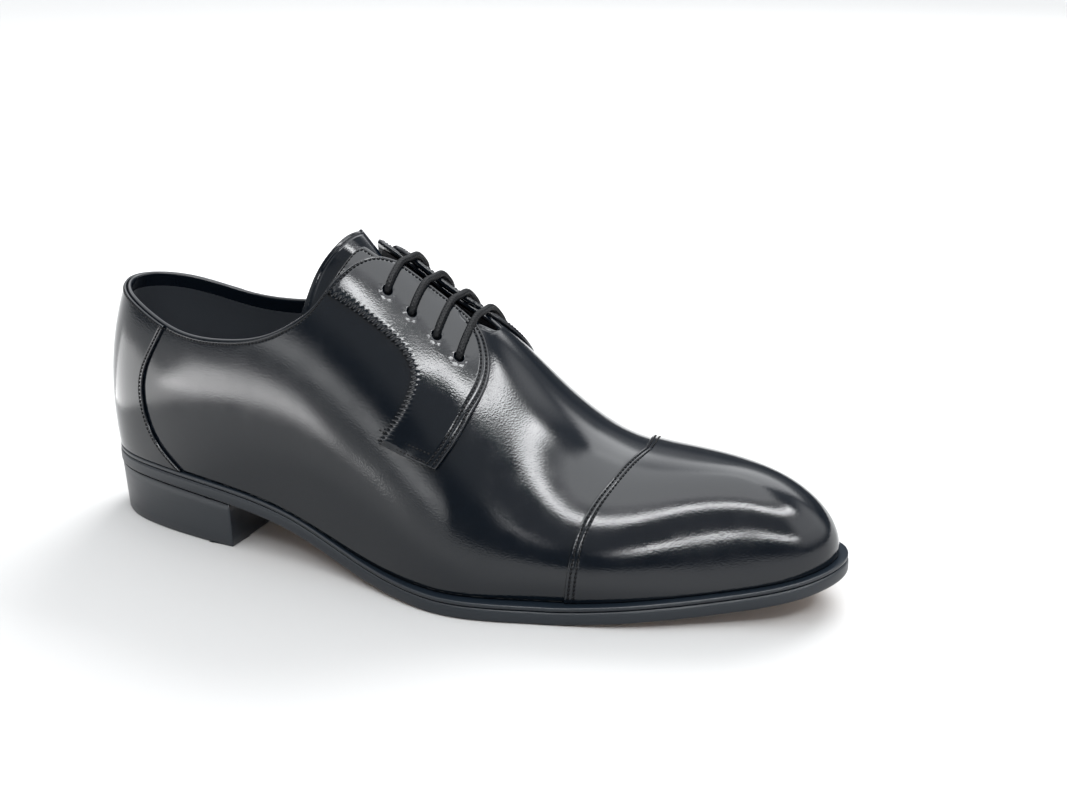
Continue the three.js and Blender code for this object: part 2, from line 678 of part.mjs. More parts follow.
// The origin is under the middle of the shoe
const box = new THREE.Box3().setFromObject(shoe);
shoe.position.set(-(box.min.x + box.max.x) / 2, -(box.min.y + box.max.y) / 2, -box.min.z);
shoe.updateMatrixWorld(true);

export default shoe;
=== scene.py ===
import math

import bpy
import numpy as np
from mathutils import Matrix, Vector


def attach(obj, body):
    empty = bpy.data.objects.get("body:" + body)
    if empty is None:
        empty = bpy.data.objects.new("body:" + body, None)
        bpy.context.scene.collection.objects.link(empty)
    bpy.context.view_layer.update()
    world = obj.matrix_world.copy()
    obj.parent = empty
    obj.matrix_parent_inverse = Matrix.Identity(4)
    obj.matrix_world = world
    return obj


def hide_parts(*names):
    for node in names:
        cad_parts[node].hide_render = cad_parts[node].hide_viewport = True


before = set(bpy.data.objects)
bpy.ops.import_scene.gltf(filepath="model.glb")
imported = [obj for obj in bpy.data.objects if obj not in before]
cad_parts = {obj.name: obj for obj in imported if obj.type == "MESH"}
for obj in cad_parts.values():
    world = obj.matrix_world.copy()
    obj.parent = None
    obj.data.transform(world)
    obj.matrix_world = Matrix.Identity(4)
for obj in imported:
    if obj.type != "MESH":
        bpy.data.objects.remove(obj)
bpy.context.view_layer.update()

# Camera
# It looks at the shoe's outer side from in front of the heel-to-toe line and a little above, as the
# photograph does.
azimuth, elevation, roll = math.radians(23.76), math.radians(19.25), math.radians(-1.07)
camera_aim = Vector((0.03429, 0.00215, 0.0645))
camera_distance = 0.6133
back = Vector((math.sin(azimuth) * math.cos(elevation), -math.cos(azimuth) * math.cos(elevation),
               math.sin(elevation)))
level_right = Vector((math.cos(azimuth), math.sin(azimuth), 0))
level_up = back.cross(level_right)
camera_right = level_right * math.cos(roll) + level_up * math.sin(roll)
camera_up = level_up * math.cos(roll) - level_right * math.sin(roll)
bpy.ops.object.camera_add(location=camera_aim + back * camera_distance)
camera = bpy.context.object
camera.rotation_euler = Matrix((camera_right, camera_up, back)).transposed().to_euler()
camera.data.lens = 55.92
camera.data.sensor_width = 36
camera.data.clip_start, camera.data.clip_end = 0.01, 50
bpy.context.scene.camera = camera

# Outsole
# One layer of sole leather, cut to the last's outline and bent up at the arch and at the toe. Its edge is
# trimmed slightly round, blackened and burnished.
SHIFT = np.array([-0.152815, 0.002193, 0.0])  # from the heel's back on the floor to the shoe's middle
LENGTH, BALL_WIDTH = 0.306, 0.105
HEEL_HEIGHT, TOE_SPRING = 0.0208, 0.0128
WELT_MARGIN = 0.0045
SOLE, GAP = 0.005, 0.0003
OUTLINE = [  # along and across, from the back of the heel round by the outer side
    [0.0, 0.02], [0.03, -0.148], [0.1, -0.25], [0.2, -0.312], [0.32, -0.356], [0.45, -0.446],
    [0.58, -0.542], [0.68, -0.488], [0.79, -0.402], [0.9, -0.262], [0.97, -0.158], [1.0, 0.022],
    [0.985, 0.152], [0.93, 0.284], [0.83, 0.425], [0.73, 0.498], [0.64, 0.478], [0.52, 0.352],
    [0.4, 0.267], [0.3, 0.273], [0.2, 0.312], [0.1, 0.285], [0.03, 0.185]]
UNDERSIDE = [  # along, share of the heel's height, share of the toe's spring
    [0, 1, 0], [0.22, 0.9, 0], [0.34, 0.605, 0], [0.44, 0.173, 0], [0.54, 0.01, 0],
    [0.62, -0.02, 0], [0.7, 0, 0], [0.8, 0, 0.2], [0.9, 0, 0.47], [1, 0, 1]]
SECTION = [  # along, squareness at the top and at the foot, swell, ridge, share of the welt's margin
    [0, 2.4, 1.65, 0.03, 0, 0.33], [0.2, 2.4, 1.93, 0.034, 0.012, 0.33], [0.4, 2.25, 1.83, 0.03, 0.021, 0.33],
    [0.55, 1.85, 1.5, 0.012, 0.017, 0.78], [0.7, 2.02, 1.71, 0.022, -0.031, 1],
    [0.85, 2.57, 1.79, -0.0028, -0.0485, 1], [1, 2.42, 2.21, 0.0056, 0.0121, 1]]


def smooth(places, values):
    """Smooth curve through values at rising places."""
    places, values = np.array(places, float), np.array(values, float)
    gaps = np.diff(places)
    last = len(places) - 1
    matrix, turns = np.eye(last + 1), np.zeros(last + 1)
    for i in range(1, last):
        matrix[i, i - 1:i + 2] = gaps[i - 1], 2 * (gaps[i - 1] + gaps[i]), gaps[i]
        turns[i] = 6 * ((values[i + 1] - values[i]) / gaps[i] - (values[i] - values[i - 1]) / gaps[i - 1])
    bends = np.linalg.solve(matrix, turns)

    def curve(x):
        i = np.clip(np.searchsorted(places, x) - 1, 0, last - 1)
        step, a, b = gaps[i], places[i + 1] - x, x - places[i]
        cubic = (bends[i] * a ** 3 + bends[i + 1] * b ** 3) / (6 * step)
        left, right = (values[k] / step - bends[k] * step / 6 for k in (i, i + 1))
        return cubic + left * a + right * b
    return curve


def walked_to(line):
    """Length of a line up to each of its points."""
    return np.concatenate([[0], np.cumsum(np.linalg.norm(np.diff(line, axis=0), axis=1))])


def unit(arrows):
    """The same directions, with length one."""
    return arrows / np.maximum(np.linalg.norm(arrows, axis=-1), 1e-12)[..., None]


def right_of(headings):
    """Level directions square to the headings, on their right."""
    return unit(np.stack([headings[:, 1], -headings[:, 0]], 1))


def lengthwise(rows, value):
    """Smooth curve along the shoe through one value of each row."""
    curve = smooth([row[0] for row in rows], [value(row) for row in rows])
    return lambda x: curve(np.clip(x / LENGTH, rows[0][0], rows[-1][0]))


raw_underside = lengthwise(UNDERSIDE, lambda row: row[1] * HEEL_HEIGHT + row[2] * TOE_SPRING)
margin = lengthwise(SECTION, lambda row: row[5] * WELT_MARGIN)


def underside(x):
    return np.maximum(0, raw_underside(x))


# The outline is walked in small steps; each has its point, its outward direction and the upper's foot
WALK = 6400
wrap = 4
ring_points = np.array(OUTLINE) * [LENGTH, BALL_WIDTH]
wrapped = np.concatenate([ring_points[-wrap:], ring_points, ring_points[:wrap + 1]])
reach = walked_to(wrapped)
outline_x, outline_y = smooth(reach, wrapped[:, 0]), smooth(reach, wrapped[:, 1])
step_length = (reach[wrap + len(ring_points)] - reach[wrap]) / WALK
walked = reach[wrap] + step_length * np.arange(WALK)
tiny = 1e-5
heading = np.stack([outline_x(walked + tiny) - outline_x(walked - tiny),
                    outline_y(walked + tiny) - outline_y(walked - tiny)], 1)
walk = {"point": np.stack([outline_x(walked), outline_y(walked)], 1), "out": right_of(heading)}
walk["foot"] = walk["point"] - walk["out"] * margin(walk["point"][:, 0])[:, None]
TIP = int(np.argmax(walk["foot"][:, 0]))
BACK = int(np.argmin(walk["foot"][:, 0]))
if BACK > TIP:
    BACK -= WALK


def at(key, step):
    """Point or direction at places of the walk."""
    low = np.floor(step).astype(int)
    share = (step - low)[..., None]
    return walk[key][low % WALK] * (1 - share) + walk[key][(low + 1) % WALK] * share


def round_walk(half):
    """Steps of the walk from the back by the outer side to the tip, and by the inner side home."""
    outer = BACK + (TIP - BACK) * np.arange(half) / half
    inner = TIP + (BACK + WALK - TIP) * np.arange(half + 1) / half
    return np.concatenate([outer, inner])


def loft(name, points, marks=None):
    """A grid with each of its points set in its place on the shoe. Points in one place become one."""
    rows, columns = points.shape[:2]
    bpy.ops.object.select_all(action="DESELECT")
    bpy.ops.mesh.primitive_grid_add(x_subdivisions=columns - 1, y_subdivisions=rows - 1, size=LENGTH)
    piece = bpy.context.object
    piece.name = piece.data.name = name
    piece.data.vertices.foreach_set("co", (points + SHIFT).ravel())
    for mark, values in (marks or {}).items():
        layer = piece.data.attributes.new(mark, "FLOAT", "POINT")
        layer.data.foreach_set("value", np.broadcast_to(values, (rows, columns)).astype(np.float32).ravel())
    close(piece)
    return piece


def close(piece):
    """Joins doubled points, turns all faces outwards and shades the piece smooth."""
    bpy.ops.object.mode_set(mode="EDIT")
    bpy.ops.mesh.select_all(action="SELECT")
    bpy.ops.mesh.remove_doubles(threshold=2e-6)
    bpy.ops.mesh.normals_make_consistent(inside=False)
    bpy.ops.object.mode_set(mode="OBJECT")
    bpy.ops.object.shade_smooth()


def joined(name, pieces):
    """One piece from several that share their edges."""
    bpy.ops.object.select_all(action="DESELECT")
    for piece in pieces:
        piece.select_set(True)
    bpy.context.view_layer.objects.active = pieces[0]
    bpy.ops.object.join()
    pieces[0].name = pieces[0].data.name = name
    close(pieces[0])
    return pieces[0]


def plate(name, key, profile, level, steps):
    """A flat layer of the sole. The profile gives its edge from under to over: inset and height."""
    rings = [np.concatenate([at(key, steps) - at("out", steps) * inset, np.full((len(steps), 1), height)], 1)
             for inset, height in profile]
    middles = [(ring + ring[::-1]) / 2 for ring in (rings[0], rings[-1])]
    points = np.stack([middles[0], *rings, middles[1]])
    points[..., 2] += level(points[..., 0])
    return loft(name, points)


def paint(piece, material):
    """Gives a piece its finish, and says which body it rides on."""
    piece.data.materials.clear()
    piece.data.materials.append(material)
    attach(piece, "root")


def finish(name, color, roughness, **sockets):
    """A material whose shader has these fixed values. More nodes are linked to it afterwards."""
    material = bpy.data.materials.new(name)
    material.use_nodes = True
    shader = material.node_tree.nodes["Principled BSDF"]
    shader.inputs["Base Color"].default_value = (*color, 1)
    shader.inputs["Roughness"].default_value = roughness
    for socket, value in sockets.items():
        shader.inputs[socket.replace("_", " ")].default_value = value
    return material, shader


def node(material, kind, inputs=None, **settings):
    """One more node, with its settings and with values or links for its inputs."""
    made = material.node_tree.nodes.new("ShaderNode" + kind)
    for key, value in settings.items():
        setattr(made, key, value)
    for key, value in (inputs or {}).items():
        if isinstance(value, bpy.types.NodeSocket):
            material.node_tree.links.new(value, made.inputs[key])
        else:
            made.inputs[key].default_value = value
    return made


def texture(material, kind, **inputs):
    """A pattern that lies fast in the piece."""
    return node(material, kind, {"Vector": node(material, "TexCoord").outputs["Object"], **inputs})


def relief(material, shader, height, strength, distance):
    """Gives a finish the low relief of a pattern."""
    bump = node(material, "Bump", {"Height": height, "Strength": strength, "Distance": distance})
    material.node_tree.links.new(bump.outputs["Normal"], shader.inputs["Normal"])


def upward(material):
    """How far the surface faces up, from -1 to 1."""
    return node(material, "SeparateXYZ", {"Vector": node(material, "NewGeometry").outputs["Normal"]}).outputs["Z"]


BLACKENED = (0.005, 0.008, 0.012)
edge_finish, edge_shader = finish("burnished_edge", BLACKENED, 0.4, Coat_Weight=0.15, Coat_Roughness=0.3)
stretched = texture(edge_finish, "Mapping", Scale=(120, 120, 1600)).outputs["Vector"]
fibres = node(edge_finish, "TexNoise", {"Vector": stretched, "Scale": 1.0, "Detail": 3.0})
relief(edge_finish, edge_shader, fibres.outputs["Fac"], 0.12, 0.0003)
# Faces that look up keep little gloss: painted shade for the crevice between the upper and the welt
shaded_top = node(edge_finish, "MapRange", {"Value": upward(edge_finish), "From Min": 0.6, "From Max": 0.92,
                                         "To Min": 0.5, "To Max": 0.05})
edge_finish.node_tree.links.new(shaded_top.outputs["Result"], edge_shader.inputs["Specular IOR Level"])

sole_finish, sole_shader = finish("sole_leather", BLACKENED, 0.42)
fleck = texture(sole_finish, "TexNoise", Scale=240.0, Detail=5.0).outputs["Fac"]
relief(sole_finish, sole_shader, fleck, 0.1, 0.0003)
under = node(sole_finish, "MapRange", {"Value": upward(sole_finish), "From Min": -0.75, "From Max": -0.92})
tan = node(sole_finish, "MixRGB", {"Fac": fleck, "Color1": (0.30, 0.155, 0.075, 1),
                                   "Color2": (0.42, 0.23, 0.12, 1)})
sole_color = node(sole_finish, "MixRGB", {"Fac": under.outputs["Result"], "Color1": (*BLACKENED, 1),
                                          "Color2": tan.outputs["Color"]})
sole_finish.node_tree.links.new(sole_color.outputs["Color"], sole_shader.inputs["Base Color"])

SOLE_EDGE = [[0.014, 0.0], [0.004, 0.0], [0.0011, 0.00002], [0.0006, 0.0001], [0.00025, 0.0003],
             [0.00006, 0.00075], [0.0, 0.0016], [0.0, 0.0030], [0.00006, 0.0040], [0.0002, 0.00455],
             [0.00045, 0.00488], [0.0009, 0.005], [0.004, 0.005], [0.014, 0.005]]
sole = plate("sole", "point", SOLE_EDGE, underside, round_walk(360))
paint(sole, sole_finish)
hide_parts("outsole")

# Welt
# A narrow strip of leather round the sole, sewn between the upper and the outsole. Its edge shows as a
# second, thinner line above the sole's. Its upper face keeps almost no gloss, as painted shade for the dark
# crevice under the upper.
WELT = 0.0016
LEATHER = 0.0018
welt_steps = round_walk(360)
welt_under = LEATHER + 0.0024
welt_rows = []
for key, inset, height in [["foot", welt_under, 0.0], ["point", 0.0006, 0.0], ["point", 0.0003, 0.00015],
                           ["point", 0.0002, 0.0005], ["point", 0.0002, 0.0011], ["point", 0.00035, 0.00145],
                           ["point", 0.0007, 0.0016], ["foot", 0.0004, 0.0016], ["foot", welt_under, 0.0016],
                           ["foot", welt_under, 0.0]]:
    flat = at(key, welt_steps) - at("out", welt_steps) * inset
    welt_rows.append(np.concatenate([flat, (underside(flat[:, 0]) + SOLE + GAP + height)[:, None]], 1))
strip = loft("welt_strip", np.stack(welt_rows))
paint(strip, edge_finish)
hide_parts("welt")

# Heel
# A low block of stacked leather under the back of the sole, with a straight front face. Its sides lean in
# slightly towards the floor and are blackened like the sole's edge.
HEEL_LENGTH, HEEL_TAPER, HEEL_NARROWING = 0.072, 0.0013, 0.015
HEEL_INSET = 0.0004
heel_sides = []
for start in (BACK, BACK + WALK):
    side_steps = start + (TIP - start) * np.linspace(0, 1, 2400)
    side_line = at("point", side_steps) - at("out", side_steps) * HEEL_INSET
    heel_sides.append(side_line[side_line[:, 0] <= HEEL_LENGTH])
outer_side, inner_side = heel_sides
front_share = np.linspace(0, 1, 120)[1:-1, None]
front_face = outer_side[-1] * (1 - front_share) + inner_side[-1] * front_share
plan = np.concatenate([outer_side, front_face, inner_side[::-1][:-1]])
run = walked_to(np.concatenate([plan, plan[:1]]))
even = np.arange(900) / 900 * run[-1]
plan = np.stack([np.interp(even, run, np.append(plan[:, i], plan[0, i])) for i in range(2)], 1)
blunt = 3  # half the width of the corners' rounding, in points
plan = sum(np.roll(plan, k, axis=0) for k in range(-blunt, blunt + 1)) / (2 * blunt + 1)
plan_out = right_of(np.roll(plan, -1, axis=0) - np.roll(plan, 1, axis=0))
plan, plan_out = (np.concatenate([a, a[:1]]) for a in (plan, plan_out))
heel_rows = []
for inset, share_up, lift in [[0.012, 0, 0], [0.0006, 0, 0], [0.0002, 0, 0.0002], [0, 0, 0.0006], [0, 0.2, 0],
                              [0, 0.4, 0], [0, 0.6, 0], [0, 0.8, 0], [0, 1, -0.0003], [0.0002, 1, -0.00006],
                              [0.0006, 1, 0], [0.012, 1, 0]]:
    flat = plan - plan_out * inset
    lean = (1 - share_up) * HEEL_TAPER * np.clip(1 - flat[:, 0] / HEEL_LENGTH, 0, 1)
    narrow = 1 - HEEL_NARROWING * (1 - share_up)
    height = share_up * (underside(flat[:, 0]) - GAP) + lift
    heel_rows.append(np.stack([flat[:, 0] + lean, flat[:, 1] * narrow, height], 1))
foot_end, top_end = (np.tile(row.mean(0), (len(row), 1)) for row in (heel_rows[0], heel_rows[-1]))
top_end[:, 2] = underside(top_end[:, 0]) - GAP
block = loft("heel_block", np.stack([foot_end, *heel_rows, top_end]))
paint(block, edge_finish)
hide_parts("heel")

# Insole and upper
# The upper is one shell of black calf over the last, with its lining: vamp and quarters in one, turned in
# at the collar, with a row of stitches below the edge. The insole closes it underneath.
INSTEP_HEIGHT, TOE_BOX_HEIGHT, COLLAR_HEIGHT = 0.110, 0.034, 0.071
INSOLE = 0.0022
LACE_GAP, SLOT_MARGIN = 0.0086, 0.0016
CREST = [  # along, share of the instep's height, share of the toe box's height
    [0, 0.88, 0], [0.15, 0.93, 0], [0.28, 0.99, 0], [0.38, 1, 0], [0.46, 0.944, 0], [0.52, 0.861, 0],
    [0.58, 0.767, 0], [0.64, 0.594, 0], [0.7, 0.32, 0.428], [0.78, 0.06, 1.026], [0.88, 0, 1.072], [1, 0, 0.701]]
COLLAR = [  # along, share of the collar's height, share of the instep's height
    [0, 1, 0], [0.08, 0.915, 0], [0.16, 0.822, 0], [0.24, 0.842, 0], [0.31, 0.956, 0], [0.35, 0.8, 0.19],
    [0.374, 0.5, 0.468], [0.396, 0.15, 0.82], [0.42, 0, 1.07]]
SLOT_BACK, SLOT_FRONT = 0.3, 0.578

crest_rise = lengthwise(CREST, lambda row: row[1] * INSTEP_HEIGHT + row[2] * TOE_BOX_HEIGHT)
collar_rise = lengthwise(COLLAR, lambda row: row[1] * COLLAR_HEIGHT + row[2] * INSTEP_HEIGHT)
top_power = lengthwise(SECTION, lambda row: row[1])
foot_power = lengthwise(SECTION, lambda row: row[2])
swell = lengthwise(SECTION, lambda row: row[3] * BALL_WIDTH)
ridge = lengthwise(SECTION, lambda row: row[4] * BALL_WIDTH)


def foot_line(x):
    return underside(x) + SOLE + GAP + WELT + GAP


# Steps of the walk for a place along each side
side_walk = {-1: np.arange(BACK, TIP + 1.0), 1: np.arange(TIP, BACK + WALK + 1.0)[::-1]}
side_foot = {side: np.maximum.accumulate(at("foot", steps)[:, 0]) for side, steps in side_walk.items()}
BACK_X, TIP_X = at("foot", np.array(float(BACK)))[0], at("foot", np.array(float(TIP)))[0]


def step_at(side, x):
    return np.interp(x, side_foot[side], side_walk[side])


def across(step):
    """The same place on the other side of the shoe."""
    x = at("foot", step)[..., 0]
    return np.where(step < TIP, step_at(1, x), step_at(-1, x))


middle_x = BACK_X + 0.001 + (TIP_X - BACK_X - 0.002) * np.arange(60) / 59
middle_y = smooth(middle_x, sum(at("foot", step_at(side, middle_x))[:, 1] for side in (-1, 1)) / 2)


def centre_y(x):
    return middle_y(np.clip(x, middle_x[0], middle_x[-1])) + ridge(x)


def centre(x):
    """Where a column that starts at x on the foot line ends on the top line, seen from above."""
    u = x / LENGTH
    ahead = np.clip((u - 0.7) / 0.3, 0, 1)
    share = np.where(u < 0.2, 0.14 + 0.06 * (u / 0.2) ** 2, u)
    share = np.where(u > 0.7, 0.7 + 0.155 * (1 - (1 - ahead) ** 1.94), share)
    return np.stack([share * LENGTH, centre_y(share * LENGTH)], -1)


def column_point(step, angle):
    """Point of the last's skin, on the column from one step of the walk, by its angle."""
    foot = at("foot", step)
    x = foot[..., 0]
    inward = 1 - np.maximum(0, np.cos(angle)) ** (2 / top_power(x))
    up = np.sin(angle) ** (2 / foot_power(x))
    swelling = swell(x) * np.sin(np.pi * np.minimum(up, 1)) * (1 - inward)
    flat = foot * (1 - inward)[..., None] + centre(x) * inward[..., None] + at("out", step) * swelling[..., None]
    start = foot_line(x)
    top = foot_line(flat[..., 0]) + crest_rise(flat[..., 0])
    return np.concatenate([flat, (start + (top - start) * up)[..., None]], -1)


# Angle for each share of a column's length, and the length, for columns all round
COLUMNS, SHARES = 1280, 160
column_steps = BACK + WALK * np.arange(COLUMNS + 1) / COLUMNS
angles = np.linspace(0, np.pi / 2, 121)
columns = column_point(np.broadcast_to(column_steps[:, None], (COLUMNS + 1, 121)), angles[None, :])
lengths = np.concatenate([np.zeros((COLUMNS + 1, 1)),
                          np.cumsum(np.linalg.norm(np.diff(columns, axis=1), axis=2), axis=1)], 1)
share_angles = np.stack([np.interp(np.linspace(0, 1, SHARES + 1) * row[-1], row, angles) for row in lengths])


def column_length(step):
    return np.interp((step - BACK) % WALK, column_steps - BACK, lengths[:, -1])


def skin(step, up):
    """Point of the last's skin, by the step of the walk and the share up its column. Past 1 it goes on
    down the other side."""
    step, up = np.broadcast_arrays(np.asarray(step, float), np.asarray(up, float))
    beyond = up > 1
    step = np.where(beyond, across(step), step)
    up = np.where(beyond, 2 - up, up)
    column = ((step - BACK) % WALK) / WALK * COLUMNS
    i = np.minimum(column.astype(int), COLUMNS - 1)
    j = np.clip((up * SHARES).astype(int), 0, SHARES - 1)
    a, b = column - i, up * SHARES - j
    angle = ((share_angles[i, j] * (1 - b) + share_angles[i, j + 1] * b) * (1 - a)
             + (share_angles[i + 1, j] * (1 - b) + share_angles[i + 1, j + 1] * b) * a)
    return column_point(step, np.clip(angle, 0, np.pi / 2))


def over(step, up, height):
    """Point at a height over the skin."""
    step, up, height = np.broadcast_arrays(*(np.asarray(a, float) for a in (step, up, height)))
    steps_beside, share_beside = 6, 0.006
    along = skin(step + steps_beside, up) - skin(step - steps_beside, up)
    climb = skin(step, up + share_beside) - skin(step, np.maximum(up - share_beside, 0))
    normal = np.cross(along, climb)
    normal /= np.linalg.norm(normal, axis=-1)[..., None] + 1e-12
    return skin(step, up) + normal * height[..., None]


def inside_upper(point):
    """How far a place lies inside the upper: under the collar and clear of the lacing slot."""
    under = foot_line(point[..., 0]) + collar_rise(point[..., 0]) - point[..., 2]
    u = point[..., 0] / LENGTH
    opening = np.sqrt(np.maximum(0, 1 - ((u - SLOT_BACK) / (SLOT_FRONT - SLOT_BACK)) ** 8))
    half = np.where((u > SLOT_BACK) & (u < SLOT_FRONT), (LACE_GAP / 2 + SLOT_MARGIN) * opening, -LENGTH)
    clear = np.abs(point[..., 1] - centre_y(point[..., 0])) - half
    corner = 0.005
    return corner - np.hypot(np.maximum(0, corner - under), np.maximum(0, corner - clear))


def top_of_upper(step):
    """Share up each column where the upper ends, at the collar or at the slot."""
    shares = np.linspace(0, 1, 121)
    inside = inside_upper(skin(step[:, None], shares[None, :])) > 0
    first = np.where(inside.all(1), 120, np.argmin(inside, axis=1) - 1)
    low = shares[np.maximum(first, 0)]
    high = np.minimum(low + shares[1], 1)
    for _ in range(22):
        half = (low + high) / 2
        good = inside_upper(skin(step, half)) > 0
        low, high = np.where(good, half, low), np.where(good, high, half)
    return np.where(inside.all(1), 1, low)


MM = 1000  # the leather's marks "seam" and "second" are distances from a cut edge, in millimetres
FIRST_ROW, SECOND_ROW = 0.0013, 0.0031  # rows of stitches, from the same edge
leather_finish, leather_shader = finish("polished_calf", (0.0017, 0.0032, 0.0055), 0.12)
wear = texture(leather_finish, "TexNoise", Scale=110.0, Detail=5.0)
shine = node(leather_finish, "MapRange", {"Value": wear.outputs["Fac"], "From Min": 0.3, "From Max": 0.7,
                                          "To Min": 0.07, "To Max": 0.16})
leather_finish.node_tree.links.new(shine.outputs["Result"], leather_shader.inputs["Roughness"])
waves = texture(leather_finish, "TexNoise", Scale=38.0, Detail=2.0).outputs["Fac"]
pressed = node(leather_finish, "Bump", {"Height": waves, "Strength": 0.12, "Distance": 0.0004}).outputs["Normal"]
grain = texture(leather_finish, "TexNoise", Scale=1700.0, Detail=2.0, Roughness=0.6).outputs["Fac"]
pores = texture(leather_finish, "TexVoronoi", Scale=1500.0, Randomness=1.0).outputs["Distance"]
for height, strength in ((grain, 0.2), (pores, 0.12)):
    pressed = node(leather_finish, "Bump", {"Height": height, "Normal": pressed, "Strength": strength,
                                            "Distance": 0.0001}).outputs["Normal"]
gloss_and_seam_shade = 0.5
for mark, row in (("seam", FIRST_ROW), ("second", SECOND_ROW)):  # the thread draws the leather in
    place = node(leather_finish, "Attribute", attribute_name=mark).outputs["Fac"]
    off = node(leather_finish, "Math", {0: place, 1: row * MM}, operation="SUBTRACT").outputs[0]
    off = node(leather_finish, "Math", {0: off}, operation="ABSOLUTE").outputs[0]
    dip = node(leather_finish, "MapRange", {"Value": off, "From Min": 0.0, "From Max": 0.75},
               interpolation_type="SMOOTHSTEP")
    pressed = node(leather_finish, "Bump", {"Height": dip.outputs["Result"], "Normal": pressed, "Strength": 0.9,
                                            "Distance": 0.00022}).outputs["Normal"]
    # Less gloss in each groove: painted shade in the seam's hollow, besides the real dip of the relief
    lit = node(leather_finish, "MapRange", {"Value": off, "From Min": 0.1, "From Max": 0.55, "To Min": 0.4})
    gloss_and_seam_shade = node(leather_finish, "Math", {0: gloss_and_seam_shade, 1: lit.outputs["Result"]}, operation="MULTIPLY").outputs[0]
leather_finish.node_tree.links.new(gloss_and_seam_shade, leather_shader.inputs["Specular IOR Level"])
leather_finish.node_tree.links.new(pressed, leather_shader.inputs["Normal"])

lining_finish, lining_shader = finish("lining_leather", (0.013, 0.016, 0.021), 0.6, Sheen_Weight=0.05)
nap = texture(lining_finish, "TexNoise", Scale=1400.0, Detail=3.0).outputs["Fac"]
relief(lining_finish, lining_shader, nap, 0.35, 0.0001)

thread_finish, thread_shader = finish("black_thread", (0.0015, 0.0015, 0.002), 0.5, Specular_IOR_Level=0.2)
strand = texture(thread_finish, "TexNoise", Scale=6000.0, Detail=1.0).outputs["Fac"]
relief(thread_finish, thread_shader, strand, 0.4, 0.0001)


def sew(name, rows, pitch=0.0016, length=0.00122, width=0.0007, height=0.0007):
    """Stitches along rows of places. Each row gives the step, the share up and the height over the skin."""
    bpy.ops.object.select_all(action="DESELECT")
    bpy.ops.mesh.primitive_uv_sphere_add(segments=6, ring_count=5, radius=1)
    stitch = bpy.context.object
    bpy.ops.transform.rotate(value=math.pi / 2, orient_axis="Y", center_override=(0, 0, 0))
    bpy.ops.transform.resize(value=(length / 2, width / 2, height / 2), center_override=(0, 0, 0))
    bpy.ops.object.transform_apply(location=True, rotation=True, scale=True)
    shape = np.array([vertex.co[:] for vertex in stitch.data.vertices])
    faces = [list(face.vertices) for face in stitch.data.polygons]
    all_points, all_faces = [], []
    for steps, ups, heights in rows:
        steps, ups, heights = np.broadcast_arrays(*(np.asarray(a, float) for a in (steps, ups, heights)))
        line = over(steps, ups, heights)
        run = walked_to(line)
        places = np.arange(pitch / 2, run[-1] - pitch / 2, pitch)
        steps, ups, heights = (np.interp(places, run, a) for a in (steps, ups, heights))
        centres = over(steps, ups, heights)
        normals = unit(over(steps, ups, heights + 0.001) - centres)
        ahead, behind = (np.stack([np.interp(places + shift, run, line[:, i]) for i in range(3)], 1)
                         for shift in (1e-4, -1e-4))
        heads = unit(ahead - behind)
        axes = np.stack([heads, np.cross(normals, heads), normals], 1)
        for centre_point, axis in zip(centres, axes):
            start = len(all_points) * len(shape)
            all_points.append(shape @ axis + centre_point + SHIFT)
            all_faces.extend([[i + start for i in face] for face in faces])
    stitch.data.clear_geometry()
    stitch.data.from_pydata(np.concatenate(all_points).tolist(), [], all_faces)
    stitch.name = stitch.data.name = name
    bpy.ops.object.shade_smooth()
    paint(stitch, thread_finish)


half_x = at("foot", BACK + (TIP - BACK) * np.arange(321) / 320)[:, 0]
upper_x = np.concatenate([half_x, half_x[::-1][1:]])
upper_steps = np.concatenate([step_at(-1, half_x), step_at(1, half_x)[::-1][1:]])
tops = top_of_upper(upper_steps)
upper_reach = column_length(upper_steps)
edge_marks = np.array([0.0002, 0.0006, 0.0011, 0.0016, 0.002, 0.0024, 0.0028, 0.0033, 0.004, 0.005, 0.006])
edge_round = np.where(tops < 1, LEATHER / 2 / upper_reach, 0)  # the turned edge's radius, as a share
body_rows = np.linspace(0, 1, 76)[:-1, None] * (tops - (edge_marks[-1] + LEATHER / 2) / upper_reach)[None, :]
edge_rows = (tops - edge_round)[None, :] - edge_marks[::-1, None] / upper_reach[None, :]
outer_rows = np.concatenate([body_rows, edge_rows, (tops - edge_round)[None, :]])
from_edge = (tops[None, :] - outer_rows) * upper_reach[None, :] * MM
collar_seam = np.where(tops < 1, np.maximum(from_edge - 0.9, 0), 9)
outer_wall = loft("upper_shell", over(upper_steps[None, :], np.maximum(outer_rows, 0), 0),
                  {"seam": np.minimum(collar_seam, 2.2)})
turn_angle = np.linspace(0, np.pi, 9)[:, None]
open_columns = np.roll(np.arange(len(tops) - 1), (len(tops) - 1) // 2)
open_columns = open_columns[tops[open_columns] < 1]
open_columns = np.concatenate([[open_columns[0] - 1], open_columns, [open_columns[-1] + 1]])
turned_up = (tops - edge_round)[open_columns] + edge_round[open_columns] * np.sin(turn_angle)
turned = loft("turned_edge", over(upper_steps[open_columns][None, :], turned_up,
                                  LEATHER / 2 * (np.cos(turn_angle) - 1)))
inner_rows = np.concatenate([outer_rows[::3], outer_rows[-1:]])
inner_wall = loft("inner_wall", over(upper_steps[None, :], np.maximum(inner_rows, 0), -LEATHER))
feather = loft("feather_edge", over(upper_steps[None, :], 0, np.array([[-LEATHER], [0]])))
upper = joined("upper_shell", [outer_wall, turned, inner_wall, feather])
paint(upper, leather_finish)
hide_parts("upper")

